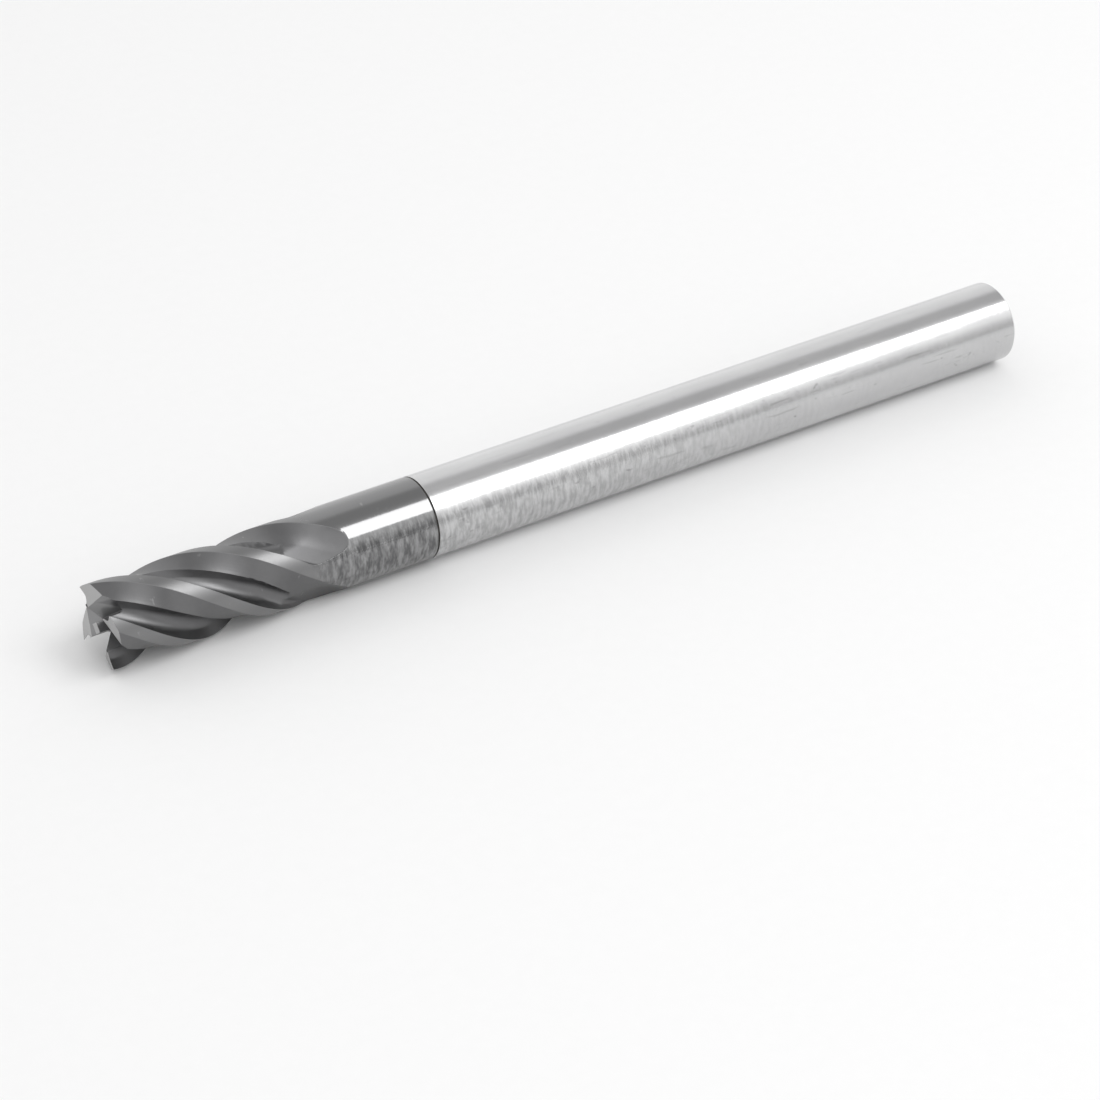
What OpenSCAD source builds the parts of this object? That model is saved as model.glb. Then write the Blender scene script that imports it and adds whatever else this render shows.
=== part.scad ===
// Long-shank four-flute end mill: a fluted carbide cutting head brazed
// end to end onto a plain ground steel shank of the same diameter.
// The tool lies along X with its tip toward -X. The origin is the centre
// of the shank's flat rear face.

/* [Tool] */
// Cutting diameter, also the shank diameter
tool_d = 8; // [7:0.25:9]
// Overall length, from the tip to the rear face
tool_l = 101; // [80:1:150]
// Length of the cutting head, from its tip to the joint
head_l = 33; // [30:0.5:40]
// Thickness of the braze layer between head and shank
braze_t = 0.2; // [0.1:0.05:0.4]
// Chamfer round the shank's rear edge
rear_chamfer = 0.3; // [0.1:0.1:1]

/* [Flutes] */
// Helix angle of the flutes
helix = 35.5; // [30:0.5:40]
// Where the wide back stops being cut at full depth, from the tip
flute_stop = 19.8; // [17:0.4:21]
// How much nearer to the tip the chip gullet stops
gullet_early = 5.3; // [4:0.1:7]
// Core radius left under the chip gullet, as a share of the tool radius
gullet_core = 0.56; // [0.5:0.02:0.62]
// Core radius left under the tooth back, as a share of the tool radius
back_core = 0.79; // [0.75:0.01:0.82]
// Radius of the grinding wheel that cuts the flutes
wheel_r = 28; // [20:1:40]

/* [Tip] */
// Hollow of the end teeth toward the centre
dish = 2; // [0:0.5:4]
// Relief angle behind each end cutting edge
end_relief = 14; // [6:1:20]
// Slope of the end gash along its tooth
gash_slope = 20; // [15:1:30]
// Depth of the end gash at the tool axis
gash_depth = 1.25; // [0.8:0.05:1.6]

/* [Hidden] */

flutes = 4;
tool_r = tool_d / 2;
share = tool_r / 4;
pitch_angle = 360 / flutes;
// Turn of the helix per millimetre of length
twist = tan(helix) / tool_r * 180 / PI;
shank_l = tool_l - head_l - braze_t;
// Angle of the first cutting edge at the tip
edge_start = 134;

// One wheel is [core radius it leaves, side on the cutting edge, side on the
// tooth heel, corner radius on each of those sides, turn about the tool axis,
// how far before flute_stop it stops].
// The first wheel cuts the chip gullet and the rake face, the second the
// wide back of the tooth.
CORE = 0;
RAKE = 1;
HEEL = 2;
RAKE_CORNER = 3;
HEEL_CORNER = 4;
TURN = 5;
EARLY = 6;
GULLET = [
  gullet_core * tool_r, 0.7 * share, -1.05 * share, 0.8 * share, 0.85 * share, 0, gullet_early
];
BACK = [back_core * tool_r, 1.78 * share, -3.8 * share, 0.32 * share, 3.9 * share, -18, 0];
WHEELS = [GULLET, BACK];

// Furthest place, along X, at which a wheel still reaches the tool, and the
// spacing of the wheel places tried
reach = 9 * share;
wheel_step = 0.75 * share;
// Where, measured from flute_stop, sections begin to differ from the body's
settled = -gullet_early - 3 * share;
// The section is traced along rays from a pole inside the core. These are
// the ray angles, in degrees, that cover one flute, and the search step.
pole = [0, share];
first_ray = -125;
last_ray = 45;
ray_step = 2.5;
// Steps in which a ray is searched for the first cut
depth_steps = 24;
// Points on the tooth back, in the gullet, and across one land
back_points = 8;
gullet_points = 8;
flute_points = back_points + gullet_points;
land_points = 3;
// Spacing of the sections along the body and along the run-out
body_step = 1;
exit_step = 0.5;
// Flute openings narrower than this many degrees are left closed
least_opening = 10;
// Width in degrees over which the closed flute's points stand on the rim
closed_span = 60;

// How far the end edges stand back from the tip's bounding plane
corner_wear = 0.02;
// End edges run this many degrees ahead of the radial line
edge_lead = 7;
// Length of the end relief and of the end gash past the corner, as shares of
// the tool radius
relief_run = 0.85;
gash_run = 0.75;
// Slope of the gash groove's back wall from the face, its root radius and
// the number of facets round that root
gash_back = 57;
gash_corner = 0.4 * share;
gash_facets = 4;
// Facets round the shank and the braze layer
facets = 96;

// How far a wheel's rim is below its full radius at axial place v
function rounding(e, c) = e <= 0 ? 0 : c - sqrt(max(0, c * c - e * e));
function rim_drop(v, w) =
  rounding(v - w[RAKE] + w[RAKE_CORNER], w[RAKE_CORNER])
  + rounding(w[HEEL] + w[HEEL_CORNER] - v, w[HEEL_CORNER]);

// Depth of section point p inside a wheel that stands u further along
function inside_wheel(p, u, w) =
  let (a = twist * u - w[TURN])
  let (radial = p.x * cos(a) - p.y * sin(a) - w[CORE] - wheel_r)
  let (tangential = p.x * sin(a) + p.y * cos(a))
  let (v = cos(helix) * tangential - sin(helix) * u)
  let (h = sin(helix) * tangential + cos(helix) * u)
  min(wheel_r - rim_drop(v, w) - norm([radial, h]), 2 * (w[RAKE] - v), 2 * (v - w[HEEL]));

// Greatest depth inside any place of the given wheels, for a section "past"
// mm beyond flute_stop
function cut_depth(p, past, wheels = WHEELS) =
  max([for (w = wheels)
    let (first = min(reach, max(past + w[EARLY], -reach)))
    each [for (u = [first : wheel_step : reach]) inside_wheel(p, u, w)]
  ]);

function on_ray(a, q) = pole + q * [cos(a), sin(a)];
function ray_to_rim(a) =
  let (b = pole * [cos(a), sin(a)])
  sqrt(b * b - pole * pole + tool_r * tool_r) - b;
function rim_cut(a, past) = cut_depth(on_ray(a, ray_to_rim(a)), past) > 0;

// Halving searches: between an uncut and a cut ray angle on the rim, and
// between an uncut and a cut distance along one ray
function rim_edge(uncut, cut, past, n = 12) =
  n == 0 ? (uncut + cut) / 2 :
  let (m = (uncut + cut) / 2)
  rim_cut(m, past) ? rim_edge(uncut, m, past, n - 1) : rim_edge(m, cut, past, n - 1);
function wall(a, uncut, cut, past, n = 11) =
  n == 0 ? (uncut + cut) / 2 :
  let (m = (uncut + cut) / 2)
  cut_depth(on_ray(a, m), past) > 0 ? wall(a, uncut, m, past, n - 1) : wall(a, m, cut, past, n - 1);
function first_cut(a, q, step, past) =
  cut_depth(on_ray(a, q), past) > 0 || q > ray_to_rim(a) ? q : first_cut(a, q + step, step, past);
function wall_point(a, past) =
  let (rim = ray_to_rim(a))
  let (step = rim / depth_steps)
  let (q = first_cut(a, step, step, past))
  on_ray(a, min(rim, wall(a, q - step, q, past)));

// Whether the gullet wheel, not the back wheel, forms the wall on this ray
function in_gullet(a, past) =
  let (p = wall_point(a, past))
  cut_depth(p, past, [GULLET]) > cut_depth(p, past, [BACK]);

// The crease between the tooth back and the gullet, as a ray angle
function crease(on_back, in_it, past, n = 9) =
  n == 0 ? (on_back + in_it) / 2 :
  let (m = (on_back + in_it) / 2)
  in_gullet(m, past) ? crease(on_back, m, past, n - 1) : crease(m, in_it, past, n - 1);

// The two ray angles between which a flute is open at the rim
function flute_span(past) =
  let (open = [for (a = [first_ray : ray_step : last_ray]) if (rim_cut(a, past)) a])
  len(open) == 0 ? [] :
  [
    rim_edge(open[0] - ray_step, open[0], past),
    rim_edge(open[len(open) - 1] + ray_step, open[len(open) - 1], past)
  ];

// Flute outline from its heel, over the tooth back, through the gullet, to
// its cutting edge
function flute_outline(past) =
  let (span = flute_span(past))
  len(span) == 0 ? [] :
  let (width = span[1] - span[0])
  let (gullet = [for (i = [1 : depth_steps - 1])
    let (a = span[0] + width * i / depth_steps)
    if (in_gullet(a, past)) a
  ])
  let (middle = len(gullet) == 0 ? span[0] + width / 2 :
    crease(gullet[0] - width / depth_steps, gullet[0], past))
  [for (i = [0 : flute_points - 1])
    let (a = i < back_points ?
      span[0] + (middle - span[0]) * i / (back_points - 1) :
      middle + (span[1] - middle) * (i - back_points + 1) / gullet_points)
    i == 0 || i == flute_points - 1 ? on_ray(a, ray_to_rim(a)) : wall_point(a, past)
  ];

function angle_of(p) = atan2(p.y, p.x);
function opening(flute) = angle_of(flute[len(flute) - 1]) - angle_of(flute[0]);
function turned(p, a) = [p.x * cos(a) - p.y * sin(a), p.x * sin(a) + p.y * cos(a)];

// A whole section: each flute, then the land that follows it
function section(flute) =
  let (edge = angle_of(flute[len(flute) - 1]))
  let (heel = angle_of(flute[0]) + pitch_angle)
  [for (k = [0 : flutes - 1])
    each concat(
      [for (p = flute) turned(p, k * pitch_angle)],
      [for (i = [1 : land_points])
        tool_r * [
          cos(edge + (heel - edge) * i / (land_points + 1) + k * pitch_angle),
          sin(edge + (heel - edge) * i / (land_points + 1) + k * pitch_angle)
        ]
      ]
    )
  ];

function lift(points, turn, x) = [for (p = points) let (q = turned(p, turn)) [q.x, q.y, x]];

// Turns a part drawn upward along Z to lie along X, starting at x
module along_x(x) {
  translate([x, 0, 0])
    rotate([0, 90, 0])
      children();
}

module fluted_body() {
  body = flute_outline(-3 * reach);
  edge = angle_of(body[flute_points - 1]);
  body_l = flute_stop + settled;
  body_rings = ceil(body_l / body_step);
  body_section = section(body);
  exits = [for (past = [settled + exit_step : exit_step : reach - exit_step])
    let (flute = flute_outline(past))
    if (len(flute) > 0 && opening(flute) > least_opening) [past, flute]
  ];
  last = exits[len(exits) - 1];
  closed = [for (i = [0 : flute_points - 1])
    let (a = angle_of(last[1][flute_points - 1]) - closed_span * (1 - i / (flute_points - 1)))
    tool_r * [cos(a), sin(a)]
  ];
  turn0 = edge_start - edge;
  body_x = [for (i = [-1 : body_rings]) i * body_l / body_rings];
  rings = concat(
    [for (x = body_x) lift(body_section, turn0 + twist * x, x)],
    [for (e = exits) lift(section(e[1]), turn0 + twist * (flute_stop + e[0]), flute_stop + e[0])],
    [for (x = [flute_stop + last[0] + exit_step, head_l])
      lift(section(closed), turn0 + twist * (flute_stop + last[0]), x)
    ]
  );
  tube(rings);
}

// Places a cutter for one tooth: local X runs along its end cutting edge,
// toward the corner, and local +Y lies over its flank
module on_tooth(k) {
  rotate([0, 0, edge_start + k * pitch_angle])
    translate([tool_r, 0, 0])
      rotate([0, 0, edge_lead])
        children();
}

// Prism whose outline lies in the local YZ plane, from x0 to x1
module along_edge(x0, x1) {
  translate([x0, 0, 0])
    rotate([90, 0, 90])
      linear_extrude(x1 - x0)
        children();
}

// Clears the end face behind one end cutting edge
module end_relief_cut() {
  rotate([0, dish, 0])
    along_edge(-relief_run * tool_r, tool_r)
      polygon([
        [0, -tool_r],
        [0, corner_wear],
        [tool_d, corner_wear + tool_d * tan(end_relief)],
        [tool_d, -tool_r]
      ]);
}

// Rounded vee groove that opens the flute to the tool axis in front of one
// end cutting edge
module end_gash_cut() {
  r = gash_corner;
  wall_end = [
    -r + r * cos(gash_back) - tool_d * sin(gash_back),
    -r + r * sin(gash_back) - tool_d * cos(gash_back)
  ];
  root = [for (i = [0 : gash_facets])
    let (a = i * gash_back / gash_facets)
    [-r + r * cos(a), -r + r * sin(a)]
  ];
  translate([-tool_r, 0, gash_depth])
    rotate([0, -gash_slope, 0])
      along_edge(-gash_run * tool_r, tool_d)
        polygon(concat([[0, -tool_d]], root, [wall_end]));
}

// A closed solid through a stack of rings with equal numbers of points
module tube(rings) {
  n = len(rings[0]);
  m = len(rings);
  points = [for (r = rings) each r];
  polyhedron(
    points = points,
    faces = concat(
      [[for (i = [0 : n - 1]) i]],
      [[for (i = [n - 1 : -1 : 0]) (m - 1) * n + i]],
      [for (j = [0 : m - 2], i = [0 : n - 1])
        [j * n + i, (j + 1) * n + i, (j + 1) * n + (i + 1) % n]
      ],
      [for (j = [0 : m - 2], i = [0 : n - 1])
        [j * n + i, (j + 1) * n + (i + 1) % n, j * n + (i + 1) % n]
      ]
    )
  );
}

// Carbide cutting head: the fluted body, faced at the tip plane, with four
// end teeth. resize() holds its length at head_l.
module cutting_head() {
  color("dimgray")
    resize([head_l, 0, 0])
      along_x(-tool_l)
        difference() {
          fluted_body();
          translate([-tool_d, -tool_d, -tool_r])
            cube([2 * tool_d, 2 * tool_d, tool_r]);
          for (k = [0 : flutes - 1])
            on_tooth(k) {
              end_relief_cut();
              end_gash_cut();
            }
        }
}

// Thin disc of braze between the head and the shank
module braze_joint() {
  color("darkgoldenrod")
    along_x(-tool_l + head_l)
      cylinder(h = braze_t, r = tool_r, $fn = facets);
}

// Plain ground shank with a chamfered rear edge
module shank() {
  color("silver")
    along_x(-shank_l) {
      cylinder(h = shank_l - rear_chamfer, r = tool_r, $fn = facets);
      translate([0, 0, shank_l - rear_chamfer])
        cylinder(h = rear_chamfer, r1 = tool_r, r2 = tool_r - rear_chamfer, $fn = facets);
    }
}

cutting_head();
braze_joint();
shank();
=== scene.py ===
import math

import bmesh
import bpy
import numpy as np
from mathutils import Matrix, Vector


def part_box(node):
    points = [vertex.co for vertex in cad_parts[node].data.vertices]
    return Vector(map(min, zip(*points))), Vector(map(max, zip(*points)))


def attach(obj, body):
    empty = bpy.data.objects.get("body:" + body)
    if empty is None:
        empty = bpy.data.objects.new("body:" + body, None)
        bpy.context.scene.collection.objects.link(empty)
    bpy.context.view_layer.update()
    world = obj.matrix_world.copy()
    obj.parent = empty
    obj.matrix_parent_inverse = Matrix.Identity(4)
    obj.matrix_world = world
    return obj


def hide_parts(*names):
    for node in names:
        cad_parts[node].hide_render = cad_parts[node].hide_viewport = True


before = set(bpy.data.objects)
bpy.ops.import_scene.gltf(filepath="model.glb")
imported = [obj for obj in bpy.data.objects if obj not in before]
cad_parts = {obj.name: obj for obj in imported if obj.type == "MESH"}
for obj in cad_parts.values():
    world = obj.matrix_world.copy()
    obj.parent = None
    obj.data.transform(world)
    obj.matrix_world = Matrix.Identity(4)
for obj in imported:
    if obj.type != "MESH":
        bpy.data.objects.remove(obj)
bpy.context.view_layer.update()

MM = 0.001

# ---------------------------------------------------------------- sizes, mm
head_lo, head_hi = (np.array(c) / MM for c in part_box("cutting_head"))
shank_lo, shank_hi = (np.array(c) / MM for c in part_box("shank"))
TOOL_R = (shank_hi[1] - shank_lo[1]) / 2
TIP_X = head_lo[0]
HEAD_L = head_hi[0] - head_lo[0]
SEAM_X = head_hi[0]

HELIX = math.radians(35.5)
TWIST = math.tan(HELIX) / TOOL_R
FLUTES = 4
PITCH = 2 * math.pi / FLUTES
EDGE_START = math.radians(44)
FLUTE_STOP = 19.8
WHEEL_R = 28.0
POLE = np.array([0.0, 1.0])  # the rays that trace a flute start here
REACH = 9.0  # wheel places are searched this far from a section
SETTLED = 3.5  # the run-out sections start this far before the gullet wheel's stop
OVERHANG = 0.3  # the fluted body starts this far past the tip and is faced back
NARROWEST = 0.02  # angle below which a flute counts as closed
CROWDING = 1.6  # how strongly sections crowd toward the blunt end of the run-out
NECK_GAP = 0.02  # from the last run-out section to the first of the plain neck
NECK_STEP = 0.4
WELD = 0.001  # corners closer than this become one

# A grinding wheel: core radius it leaves, its side on the cutting edge and
# on the tooth heel, the corner radius on each side, turn about the axis, and
# how much earlier than FLUTE_STOP it stops
GULLET = dict(
    core=0.56 * TOOL_R, rake=0.7, heel=-1.05, rake_r=0.8, heel_r=0.85, turn=0.0, early=5.3
)
BACK = dict(
    core=0.79 * TOOL_R, rake=1.78, heel=-3.8, rake_r=0.32, heel_r=3.9, turn=math.radians(-18), early=0.0
)


def rounding(e, r):
    """Drop of a corner of radius r at e past the start of its arc."""
    e = np.clip(e, 0, r)
    return r - np.sqrt(r * r - e * e)


def inside_wheel(p, u, wheel):
    """Depth of section points p inside a wheel standing u further along."""
    a = TWIST * u - wheel["turn"]
    radial = p[..., 0] * np.cos(a) - p[..., 1] * np.sin(a) - wheel["core"] - WHEEL_R
    around = p[..., 0] * np.sin(a) + p[..., 1] * np.cos(a)
    v = math.cos(HELIX) * around - math.sin(HELIX) * u
    h = math.sin(HELIX) * around + math.cos(HELIX) * u
    drop = rounding(v - wheel["rake"] + wheel["rake_r"], wheel["rake_r"])
    drop = drop + rounding(wheel["heel"] + wheel["heel_r"] - v, wheel["heel_r"])
    rim = WHEEL_R - drop - np.hypot(radial, h)
    return np.minimum(rim, 2 * np.minimum(wheel["rake"] - v, v - wheel["heel"]))


def cut_depth(p, past, wheels=(GULLET, BACK), step=0.4):
    """Greatest depth inside any wheel place for a section past mm beyond FLUTE_STOP."""
    best = np.full(p.shape[:-1], -1e9)
    for wheel in wheels:
        first = max(past + wheel["early"], -REACH)
        for u in np.append(first, np.arange(math.ceil(first / step) * step, REACH, step)):
            best = np.maximum(best, inside_wheel(p, u, wheel))
    return best


def halve(cut, clear, is_cut, steps):
    """Closes in on the place between cut and clear where is_cut changes."""
    for _ in range(steps):
        mid = (cut + clear) / 2
        if is_cut(mid):
            cut = mid
        else:
            clear = mid
    return cut, clear


def on_ray(a, q):
    """Point at distance q from the pole along a ray."""
    return POLE + np.stack([q * np.cos(a), q * np.sin(a)], -1)


def ray_to_rim(a):
    """Length of a ray from the pole to the tool's cylinder."""
    b = POLE[0] * np.cos(a) + POLE[1] * np.sin(a)
    return np.sqrt(b * b - POLE @ POLE + TOOL_R ** 2) - b


def wall(a, past, wheels):
    """Distance along each ray to the first cut made by the wheels, the rim where there is none."""
    rim = ray_to_rim(a)
    share = np.linspace(0.3, 1, 32)[:, None]
    cut = cut_depth(on_ray(a[None, :] + 0 * share, share * rim[None, :]), past, wheels) > 0
    hit = np.where(cut.any(0), cut.argmax(0), len(share) - 1)
    far = share[hit, 0] * rim
    near = share[np.maximum(hit - 1, 0), 0] * rim
    for _ in range(14):
        mid = (near + far) / 2
        inside = cut_depth(on_ray(a, mid), past, wheels) > 0
        far = np.where(inside, mid, far)
        near = np.where(inside, near, mid)
    return np.minimum(np.where(cut.any(0), far, rim), rim)


def flute_span(past):
    """The two ray angles between which a flute is open at the rim, or None."""

    def rim_is_cut(a):
        return cut_depth(on_ray(a, ray_to_rim(a)), past) > 0

    scan = np.radians(np.linspace(-125, 45, 341))
    cut = np.flatnonzero(rim_is_cut(scan))
    if not len(cut):
        return None
    borders = ((scan[cut[0]], scan[cut[0] - 1]), (scan[cut[-1]], scan[cut[-1] + 1]))
    return [sum(halve(*pair, lambda a: rim_is_cut(np.array([a]))[0], 18)) / 2 for pair in borders]


def flute_outline(past, points, back_share=0.5):
    """Outline of one flute from its heel to its cutting edge, or None.

    One point always stands on the crease between the wide back and the gullet.
    """
    ends = flute_span(past)
    if ends is None:
        return None

    def gullet_lead(a):
        return wall(a, past, (BACK,)) - wall(a, past, (GULLET,))

    scan = np.linspace(ends[0], ends[1], 61)
    gullet_first = gullet_lead(scan) > 1e-3
    on_back = int(points * back_share)
    crease = ends[0] + (ends[1] - ends[0]) * (on_back - 1) / (points - 1)
    if gullet_first.any():
        k = max(int(np.argmax(gullet_first)), 1)
        crease = sum(halve(scan[k], scan[k - 1], lambda a: gullet_lead(np.array([a]))[0] > 0, 14)) / 2
    back = np.linspace(ends[0], crease, on_back)
    a = np.append(back, np.linspace(crease, ends[1], points - on_back + 1)[1:])
    q = wall(a, past, (GULLET, BACK))
    q[[0, -1]] = ray_to_rim(a)[[0, -1]]
    return on_ray(a, q)


def turned(p, a):
    """Section points turned about the tool axis."""
    c, s = math.cos(a), math.sin(a)
    return p @ np.array([[c, s], [-s, c]])


def section(flute, land_points):
    """The whole section: each flute followed by the land beside it."""
    edge = math.atan2(flute[-1, 1], flute[-1, 0])
    heel = math.atan2(flute[0, 1], flute[0, 0]) + PITCH
    land = edge + (heel - edge) * np.arange(1, land_points + 1) / (land_points + 1)
    land = TOOL_R * np.stack([np.cos(land), np.sin(land)], -1)
    one = np.concatenate([flute, land])
    return np.concatenate([turned(one, k * PITCH) for k in range(FLUTES)])


def tool_ring(points, turn, x):
    """Section points placed across the tool axis at x from the tip."""
    q = turned(points, turn)
    return np.column_stack([np.full(len(q), TIP_X + x), q[:, 0], q[:, 1]])


def head_rings(points=56, land_points=10, body_step=0.16, exits=80):
    """Sections along the head: the fluted body, the run-out and the plain neck."""

    def still_open(past):
        span = flute_span(past)
        return span is not None and span[1] - span[0] >= NARROWEST

    body = flute_outline(-3 * REACH, points)
    turn0 = EDGE_START - math.atan2(body[-1, 1], body[-1, 0])
    body_section = section(body, land_points)
    settled = -GULLET["early"] - SETTLED
    body_l = FLUTE_STOP + settled
    xs = np.linspace(-OVERHANG, body_l, int(body_l / body_step))
    rings = [tool_ring(body_section, turn0 + TWIST * x, x) for x in xs]
    last_open = halve(0.0, REACH, still_open, 16)[0]
    for share in np.linspace(0, 1, exits + 1)[1:]:
        past = settled + (last_open - settled) * (1 - (1 - share) ** CROWDING)
        flute = flute_outline(past, points)
        x = FLUTE_STOP + past
        rings.append(tool_ring(section(flute, land_points), turn0 + TWIST * x, x))
    flute = flute * (TOOL_R / np.linalg.norm(flute, axis=1))[:, None]
    closed = section(flute, land_points)
    for end in np.append(np.arange(x + NECK_GAP, HEAD_L - 0.1, NECK_STEP), HEAD_L):
        rings.append(tool_ring(closed, turn0 + TWIST * x, end))
    return np.array(rings)


def mesh_object(name, verts, faces):
    mesh = bpy.data.meshes.new(name)
    mesh.from_pydata([tuple(v) for v in np.asarray(verts) * MM], [], faces)
    mesh.validate()
    obj = bpy.data.objects.new(name, mesh)
    bpy.context.collection.objects.link(obj)
    return obj


def tube_walls(rings, columns, start=0):
    """Quads between neighbouring rings of points."""
    faces = []
    for j in range(rings - 1):
        near, far = start + j * columns, start + (j + 1) * columns
        for i in range(columns):
            k = (i + 1) % columns
            faces.append((near + i, near + k, far + k, far + i))
    return faces


def end_caps(rings, columns):
    return [tuple(range(columns - 1, -1, -1)), tuple(range((rings - 1) * columns, rings * columns))]


def build_head():
    rings = head_rings()
    count, columns = rings.shape[:2]
    faces = end_caps(count, columns) + tube_walls(count, columns)
    return mesh_object("fluted_head", rings.reshape(-1, 3), faces)


# ---------------------------------------------------------------- end teeth
END_RELIEF = math.radians(14)
DISH = math.radians(2)
EDGE_LEAD = math.radians(7)
GASH_SLOPE = math.radians(20)
GASH_DEPTH = 1.25
GASH_BACK = math.radians(57)
GASH_R = 0.4
GASH_RUN = 0.75 * TOOL_R
RELIEF_RUN = 0.85 * TOOL_R
CORNER_WEAR = 0.02
BIG = 2 * TOOL_R


def prism(outline, along):
    """Points and faces of a closed prism; the outline lies across its first axis."""
    verts = [(x, y, z) for x in along for y, z in outline]
    return np.array(verts, float), end_caps(2, len(outline)) + tube_walls(2, len(outline))


def spin(points, axis, a):
    """Points turned about one of the axes 0, 1, 2."""
    i, j = [(1, 2), (2, 0), (0, 1)][axis]
    out = points.copy()
    out[:, i] = math.cos(a) * points[:, i] - math.sin(a) * points[:, j]
    out[:, j] = math.sin(a) * points[:, i] + math.cos(a) * points[:, j]
    return out


def place_on_tooth(points, k):
    """Tooth axes (along its end edge, over its flank, toward the shank) to the tool's."""
    p = spin(points, 2, EDGE_LEAD)
    p = p + [TOOL_R, 0, 0]
    p = spin(p, 2, EDGE_START + k * PITCH)
    return np.column_stack([TIP_X + p[:, 2], p[:, 0], p[:, 1]])


def gash_outline():
    """A flat face, a rounded floor and a back that leans away."""
    turns = np.linspace(0, GASH_BACK, 9)
    arc = [(GASH_R * math.cos(a) - GASH_R, GASH_R * math.sin(a) - GASH_R) for a in turns]
    over, toward = arc[-1]
    back = (over - BIG * math.sin(GASH_BACK), toward - BIG * math.cos(GASH_BACK))
    return [(0, -BIG)] + arc + [back]


def tip_cutters():
    """One cutter faces the tip, and each tooth has one for its relief and one for its gash."""
    square = [(-BIG, -BIG), (BIG, -BIG), (BIG, BIG), (-BIG, BIG)]
    cutters = [mesh_object("facing", *prism(square, (TIP_X - TOOL_R, TIP_X)))]
    rise = CORNER_WEAR + BIG * math.tan(END_RELIEF)
    relief = [(BIG, -TOOL_R), (BIG, rise), (0, CORNER_WEAR), (0, -TOOL_R)]
    for k in range(FLUTES):
        points, faces = prism(relief, (-RELIEF_RUN, TOOL_R))
        cutters.append(mesh_object("relief_%d" % k, place_on_tooth(spin(points, 1, DISH), k), faces))
        points, faces = prism(gash_outline(), (-GASH_RUN, BIG))
        points = spin(points, 1, -GASH_SLOPE) + [-TOOL_R, 0, GASH_DEPTH]
        cutters.append(mesh_object("gash_%d" % k, place_on_tooth(points, k), faces))
    return cutters


def tidy_normals(obj):
    bm = bmesh.new()
    bm.from_mesh(obj.data)
    bmesh.ops.recalc_face_normals(bm, faces=bm.faces)
    bm.to_mesh(obj.data)
    bm.free()


def weld(obj):
    """Joins the corners that the cuts leave within a micrometre of each other."""
    bm = bmesh.new()
    bm.from_mesh(obj.data)
    bmesh.ops.remove_doubles(bm, verts=bm.verts, dist=WELD * MM)
    bm.to_mesh(obj.data)
    bm.free()


def cut_away(obj, cutters):
    for cutter in cutters:
        tidy_normals(cutter)
        mod = obj.modifiers.new("cut", "BOOLEAN")
        mod.object = cutter
        mod.operation = "DIFFERENCE"
        mod.solver = "EXACT"
    deps = bpy.context.evaluated_depsgraph_get()
    mesh = bpy.data.meshes.new_from_object(obj.evaluated_get(deps))
    obj.modifiers.clear()
    obj.data = mesh
    for cutter in cutters:
        bpy.data.objects.remove(cutter)
    weld(obj)


def sharpen(obj, angle=30):
    """Smooth shading with sharp edges above an angle in degrees."""
    obj.data.polygons.foreach_set("use_smooth", [True] * len(obj.data.polygons))
    obj.data.set_sharp_from_angle(angle=math.radians(angle))


# ---------------------------------------------------------------- materials
LOWER_FRONT = (-0.978, -0.208)  # its direction across the axis, as y and z


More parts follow.
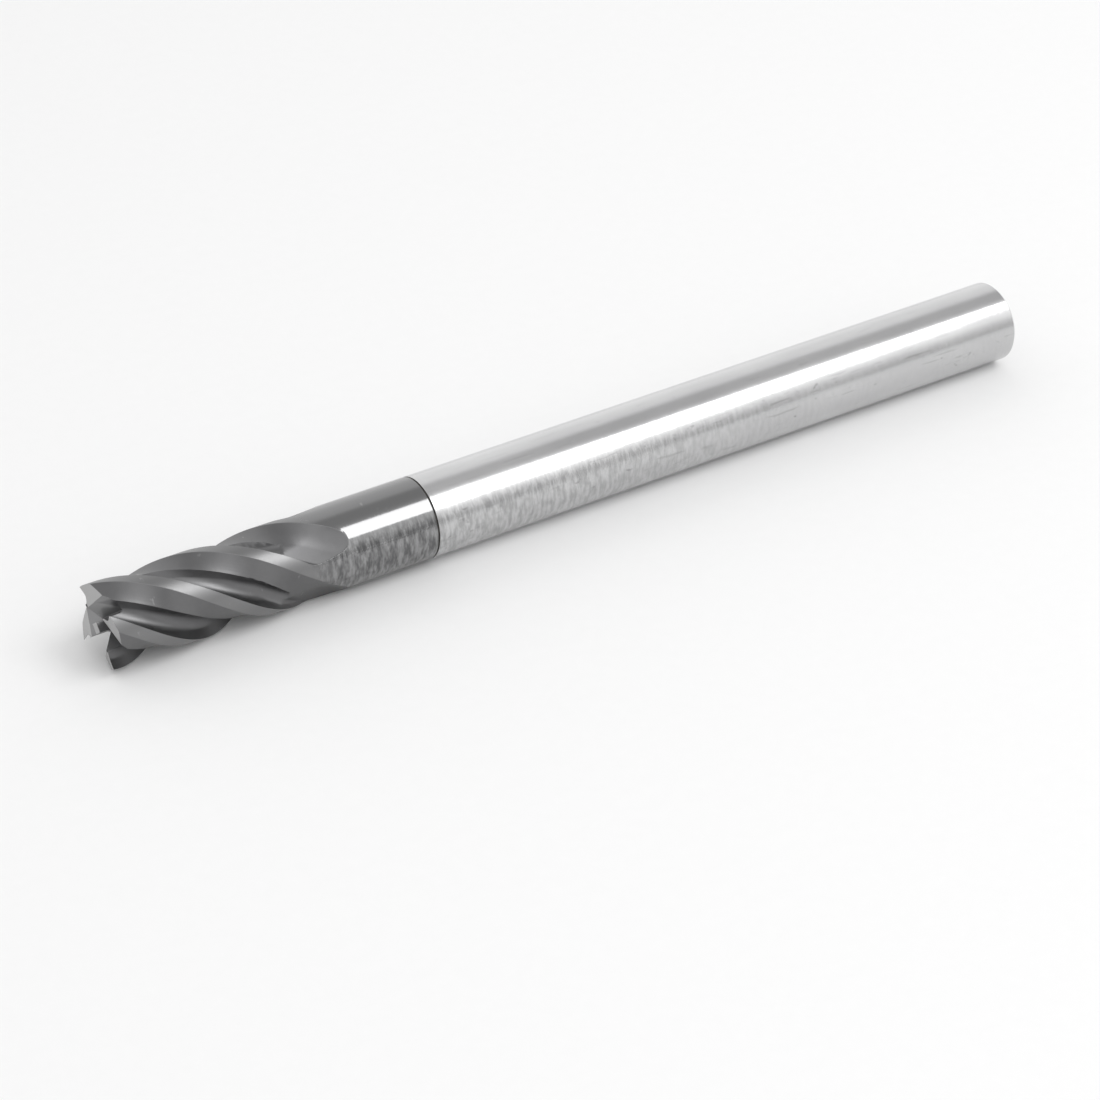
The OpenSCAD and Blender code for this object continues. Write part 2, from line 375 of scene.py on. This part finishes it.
class Nodes:
    """Small helper that adds nodes to one material and links them."""

    def __init__(self, name):
        self.mat = bpy.data.materials.new(name)
        self.mat.use_nodes = True
        self.tree = self.mat.node_tree
        self.shader = self.tree.nodes["Principled BSDF"]
        self.coords = self.tree.nodes.new("ShaderNodeTexCoord").outputs["Object"]

    def feed(self, socket, value):
        """Links an output to a socket, or sets a constant on it."""
        if isinstance(value, bpy.types.NodeSocket):
            self.tree.links.new(value, socket)
        else:
            socket.default_value = value

    def add(self, kind, inputs, **settings):
        node = self.tree.nodes.new(kind)
        for key, value in settings.items():
            setattr(node, key, value)
        for key, value in inputs.items():
            self.feed(node.inputs[key], value)
        return node

    def noise(self, per_metre, detail=3.0, rough=0.55):
        """Noise about 0.5, with its own fineness along each axis."""
        mapped = self.add("ShaderNodeMapping", {"Vector": self.coords, "Scale": per_metre})
        settings = {"Vector": mapped.outputs[0], "Scale": 1.0, "Detail": detail, "Roughness": rough}
        return self.add("ShaderNodeTexNoise", settings).outputs["Fac"]

    def remap(self, value, a, b, c, d):
        """Carries the range a..b over to c..d and stops at its ends."""
        limits = {"From Min": a, "From Max": b, "To Min": c, "To Max": d}
        return self.add("ShaderNodeMapRange", {"Value": value, **limits}).outputs[0]

    def mix(self, fac, a, b):
        """From colour a to colour b."""
        a, b = ((*c, 1) if isinstance(c, tuple) else c for c in (a, b))
        return self.add("ShaderNodeMix", {0: fac, 6: a, 7: b}, data_type="RGBA").outputs[2]

    def blend(self, fac, a, b):
        """From value a to value b."""
        return self.add("ShaderNodeMix", {0: fac, 2: a, 3: b}, data_type="FLOAT").outputs[0]

    def math(self, op, a, b=0.0):
        return self.add("ShaderNodeMath", {0: a, 1: b}, operation=op).outputs[0]

    def times(self, a, b):
        return self.math("MULTIPLY", a, b)

    def plus(self, a, b):
        return self.math("ADD", a, b)

    def bump(self, height, strength, distance, under=None):
        inputs = {"Height": height, "Strength": strength, "Distance": distance * MM}
        if under is not None:
            inputs["Normal"] = under
        return self.add("ShaderNodeBump", inputs).outputs[0]

    def xyz(self):
        return self.add("ShaderNodeSeparateXYZ", {"Vector": self.coords}).outputs

    def facing_x(self):
        """The surface normal's share along the tool axis."""
        normal = self.tree.nodes.new("ShaderNodeTexCoord").outputs["Normal"]
        return self.add("ShaderNodeSeparateXYZ", {"Vector": normal}).outputs["X"]

    def lower_front(self, y, z):
        """1 on the side of the tool that lies low and to the front, 0 elsewhere."""
        side = self.plus(self.times(y, LOWER_FRONT[0]), self.times(z, LOWER_FRONT[1]))
        return self.remap(side, 0.62 * TOOL_R * MM, 0.8 * TOOL_R * MM, 0.0, 1.0)

    def set(self, **sockets):
        for key, value in sockets.items():
            self.feed(self.shader.inputs[key.replace("_", " ")], value)
        return self.mat


def carbide_material():
    """Dark sintered carbide: satin flutes with wheel marks, a smoother ground
    cylinder with chatter on its lower front, where dark and light strokes in the
    colour are painted reflection of the floor and its shadow, end flanks painted
    paler as a highlight, small nicks."""
    n = Nodes("carbide")
    x, y, z = n.xyz()
    radius = n.math("SQRT", n.plus(n.times(y, y), n.times(z, z)))
    cylinder = n.remap(radius, 0.99 * TOOL_R * MM, 0.998 * TOOL_R * MM, 0.0, 1.0)
    neck = n.times(cylinder, n.remap(x, (SEAM_X - 13.5) * MM, (SEAM_X - 10.5) * MM, 0.0, 1.0))
    # Faces that look toward the tip: their paler tone is a painted highlight.
    painted_end_highlight = n.remap(n.facing_x(), -0.9, -0.75, 1.0, 0.0)
    patches = n.noise((260, 260, 260), 4.0)
    grain = n.noise((9000, 9000, 9000), 2.0)
    marks = n.noise((5200, 600, 600), 3.0, 0.6)
    chatter = n.noise((2700, 850, 850), 2.0, 0.6)
    nicks = n.remap(n.noise((1500, 700, 700), 2.0), 0.7, 0.76, 0.0, 1.0)
    tone = n.mix(n.remap(patches, 0.3, 0.7, 0.0, 1.0), (0.165, 0.165, 0.168), (0.2, 0.2, 0.202))
    tone = n.mix(cylinder, tone, (0.235, 0.235, 0.237))
    tone = n.mix(painted_end_highlight, tone, (0.42, 0.42, 0.42))
    # Low front of the neck: the dark and light strokes mixed into the colour here are painted
    # reflection of the floor and its shadow; the zone also gets rougher and carries the chatter bump.
    chatter_and_painted_reflection = n.times(n.lower_front(y, z), neck)
    strokes = n.mix(n.remap(chatter, 0.36, 0.64, 0.0, 1.0), (0.15, 0.15, 0.152), (0.33, 0.33, 0.332))
    tone = n.mix(chatter_and_painted_reflection, tone, strokes)
    tone = n.mix(n.remap(nicks, 0.0, 1.0, 0.0, 0.4), tone, (0.4, 0.4, 0.4))
    satin = n.plus(n.remap(patches, 0.3, 0.7, 0.33, 0.41), n.remap(grain, 0.3, 0.8, 0.0, 0.05))
    rough = n.blend(n.remap(neck, 0.0, 1.0, 0.0, 0.85), satin, 0.09)
    rough = n.blend(chatter_and_painted_reflection, rough, 0.2)
    height = n.times(chatter, chatter_and_painted_reflection)
    normal = n.add("ShaderNodeBevel", {"Radius": 0.04 * MM}, samples=4).outputs[0]
    normal = n.bump(height, 0.9, 0.06, normal)
    normal = n.bump(marks, 0.3, 0.012, normal)
    normal = n.bump(grain, 0.15, 0.005, normal)
    n.shader.inputs["Metallic"].default_value = 1.0
    return n.set(Base_Color=tone, Roughness=rough, Normal=normal)


def braze_material():
    """Dark oxidised braze line with a few brighter spots."""
    n = Nodes("braze")
    blotch = n.noise((900, 900, 900), 5.0)
    tone = n.mix(n.remap(blotch, 0.35, 0.75, 0.0, 1.0), (0.018, 0.017, 0.016), (0.06, 0.057, 0.05))
    rough = n.remap(blotch, 0.3, 0.7, 0.6, 0.42)
    normal = n.bump(blotch, 0.5, 0.03)
    n.shader.inputs["Metallic"].default_value = 0.6
    return n.set(Base_Color=tone, Roughness=rough, Normal=normal)


def steel_material():
    """Bright centreless-ground steel: chatter strokes round the axis that fade
    toward the rear, dark strokes in the colour on the lower front that are
    painted reflection of the floor and its shadow, handling scratches and specks
    on the lower front."""
    n = Nodes("steel")
    x, y, z = n.xyz()
    low = n.lower_front(y, z)
    near_joint = n.remap(x, (SEAM_X + 12) * MM, (SEAM_X + 45) * MM, 1.0, 0.12)
    strokes = n.noise((2500, 750, 750), 2.0, 0.6)
    waves = n.noise((420, 160, 160), 3.0, 0.6)
    fine = n.noise((9000, 400, 400), 2.0)
    patches = n.noise((90, 260, 260), 4.0)
    marks = n.remap(n.noise((240, 2600, 2600), 2.0), 0.64, 0.7, 0.0, 1.0)
    specks = n.remap(n.noise((900, 1600, 1600), 2.0), 0.68, 0.74, 0.0, 1.0)
    tone = n.mix(n.remap(patches, 0.3, 0.7, 0.0, 1.0), (0.55, 0.55, 0.555), (0.61, 0.61, 0.613))
    # Low front near the joint: the dark strokes mixed into the colour here are painted reflection of
    # the floor and its shadow.
    chatter_and_painted_reflection = n.times(low, near_joint)
    tone = n.mix(n.times(chatter_and_painted_reflection, n.remap(strokes, 0.38, 0.62, 0.6, 0.0)), tone, (0.3, 0.3, 0.3))
    tone = n.mix(n.times(marks, n.remap(low, 0.0, 1.0, 0.1, 0.4)), tone, (0.33, 0.33, 0.33))
    tone = n.mix(n.times(specks, n.remap(low, 0.0, 1.0, 0.08, 0.5)), tone, (0.22, 0.22, 0.22))
    rough = n.plus(n.remap(patches, 0.3, 0.7, 0.13, 0.19), n.remap(fine, 0.3, 0.8, 0.0, 0.04))
    rough = n.plus(rough, n.remap(low, 0.0, 1.0, 0.0, 0.07))
    height = n.times(strokes, n.times(near_joint, n.remap(low, 0.0, 1.0, 0.12, 1.0)))
    normal = n.bump(height, 0.9, 0.05)
    normal = n.bump(waves, 0.5, 0.03, normal)
    normal = n.bump(fine, 0.15, 0.005, normal)
    n.shader.inputs["Metallic"].default_value = 1.0
    return n.set(Base_Color=tone, Roughness=rough, Normal=normal)


def paper_material():
    paper = Nodes("paper")
    fibre = paper.noise((700, 700, 700))
    paper.shader.inputs["Specular IOR Level"].default_value = 0.1
    return paper.set(
        Base_Color=paper.mix(fibre, (0.87, 0.87, 0.87), (0.89, 0.89, 0.89)),
        Roughness=paper.remap(fibre, 0.0, 1.0, 0.85, 0.95),
        Normal=paper.bump(fibre, 0.05, 0.1),
    )


# ---------------------------------------------------------------- turned pieces
EDGE_BREAK = 0.03
REAR_CHAMFER = 0.3
RING_DEPTH = 0.06  # the braze lies this far under the cylinder at its edges
RING_CROWN = 0.02  # and rises by this much between them
FRONT_X = shank_lo[0]
REAR_X = shank_hi[0]


def lathe(name, profile, columns=256):
    """Closed body of revolution; profile is (x, r) in mm, its ends lie on the axis."""
    a = np.linspace(0, 2 * np.pi, columns, endpoint=False)
    verts = [(profile[0][0], 0, 0)]
    for x, r in profile[1:-1]:
        verts += [(x, r * math.cos(t), r * math.sin(t)) for t in a]
    verts.append((profile[-1][0], 0, 0))
    rings = len(profile) - 2
    last = 1 + (rings - 1) * columns
    faces = tube_walls(rings, columns, start=1)
    for i in range(columns):
        k = (i + 1) % columns
        faces.append((0, 1 + k, 1 + i))
        faces.append((last + i, last + k, len(verts) - 1))
    obj = mesh_object(name, verts, faces)
    tidy_normals(obj)
    return obj


def build_ring():
    """The braze: a ring that lies a little under the cylinder on either side."""
    wide = FRONT_X - SEAM_X
    edge = TOOL_R - RING_DEPTH
    bead = [(0, edge), (0.25, edge + RING_CROWN), (0.75, edge + RING_CROWN), (1, edge)]
    profile = [(SEAM_X + share * wide, r) for share, r in bead]
    return lathe("braze_ring", [(SEAM_X, 0)] + profile + [(SEAM_X + wide, 0)])


def build_shank():
    body = np.linspace(FRONT_X + EDGE_BREAK, REAR_X - REAR_CHAMFER, 40)
    profile = [(FRONT_X, 0), (FRONT_X, TOOL_R - EDGE_BREAK)] + [(x, TOOL_R) for x in body]
    profile += [(REAR_X, TOOL_R - REAR_CHAMFER), (REAR_X, TOOL_R * 0.5), (REAR_X, 0)]
    return lathe("ground_shank", profile)


def finish_piece(obj, node, material):
    obj.data.materials.clear()
    obj.data.materials.append(material)
    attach(obj, "root")
    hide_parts(node)


head = build_head()
tidy_normals(head)
cut_away(head, tip_cutters())
sharpen(head)
finish_piece(head, "cutting_head", carbide_material())

ring = build_ring()
sharpen(ring)
finish_piece(ring, "braze_joint", braze_material())

rod = build_shank()
sharpen(rod)
finish_piece(rod, "shank", steel_material())


# ---------------------------------------------------------------- floor
def build_floor(half=3000):
    corners = [(x * half, y * half, 0) for x, y in ((-1, -1), (1, -1), (1, 1), (-1, 1))]
    obj = mesh_object("floor", corners, [(0, 1, 2, 3)])
    obj.location.z = -TOOL_R * MM
    obj.data.materials.append(paper_material())
    return obj


build_floor()

# ---------------------------------------------------------------- camera
LENS = 120.33
CAMERA_AT = (-36.849, -61.661, 45.335)  # from the seam, in tool radii
CAMERA_LOOK = (0.46206, 0.70247, -0.54133)


def place_camera(scene):
    data = bpy.data.cameras.new("camera")
    data.sensor_width = 36
    data.lens = LENS
    data.clip_start = 0.01
    data.clip_end = 20
    obj = bpy.data.objects.new("camera", data)
    bpy.context.collection.objects.link(obj)
    obj.location = (Vector(CAMERA_AT) * TOOL_R + Vector((SEAM_X, 0, 0))) * MM
    obj.rotation_euler = Vector(CAMERA_LOOK).to_track_quat("-Z", "Y").to_euler()
    scene.camera = obj


# ---------------------------------------------------------------- light
# Brightness of the white studio round the tool, from behind it (0) over the
# top (0.5) to the front (1)
STUDIO = [
    (0.0, 0.82), (0.1, 0.79), (0.233, 0.75), (0.3, 0.71), (0.37, 0.45), (0.5, 0.45),
    (0.8, 0.93), (0.833, 0.82), (0.9, 0.59), (0.967, 0.45), (1.0, 0.43),
]
STUDIO_STRENGTH = 1.4


def fill_ramp(ramp, stops):
    for at, _ in stops[1:-1]:
        ramp.elements.new(at)
    for element, (at, value) in zip(ramp.elements, stops):
        element.position = at
        element.color = (value, value, value, 1)


def light_world(scene):
    world = bpy.data.worlds.new("world")
    scene.world = world
    world.use_nodes = True
    tree = world.node_tree
    direction = tree.nodes.new("ShaderNodeTexCoord")
    parts = tree.nodes.new("ShaderNodeSeparateXYZ")
    angle = tree.nodes.new("ShaderNodeMath")
    angle.operation = "ARCTAN2"
    share = tree.nodes.new("ShaderNodeMapRange")
    share.inputs["From Max"].default_value = math.pi
    ramp = tree.nodes.new("ShaderNodeValToRGB")
    fill_ramp(ramp.color_ramp, STUDIO)
    background = tree.nodes["Background"]
    background.inputs["Strength"].default_value = STUDIO_STRENGTH
    tree.links.new(direction.outputs["Generated"], parts.inputs[0])
    tree.links.new(parts.outputs["Z"], angle.inputs[0])
    tree.links.new(parts.outputs["Y"], angle.inputs[1])
    tree.links.new(angle.outputs[0], share.inputs["Value"])
    tree.links.new(share.outputs[0], ramp.inputs[0])
    tree.links.new(ramp.outputs[0], background.inputs["Color"])


def softbox(name, x, y, height, radiance):
    """A level rectangular light; x and y are its extents in metres."""
    data = bpy.data.lights.new(name, "AREA")
    data.shape = "RECTANGLE"
    data.size = x[1] - x[0]
    data.size_y = y[1] - y[0]
    data.energy = radiance * math.pi * data.size * data.size_y
    obj = bpy.data.objects.new(name, data)
    bpy.context.collection.objects.link(obj)
    obj.location = ((x[0] + x[1]) / 2, (y[0] + y[1]) / 2, height)


scene = bpy.context.scene
scene.view_settings.view_transform = "Standard"
scene.view_settings.look = "None"
place_camera(scene)
light_world(scene)
softbox("overhead", x=(0.10, 0.50), y=(-0.64, -0.16), height=0.6, radiance=3.7)
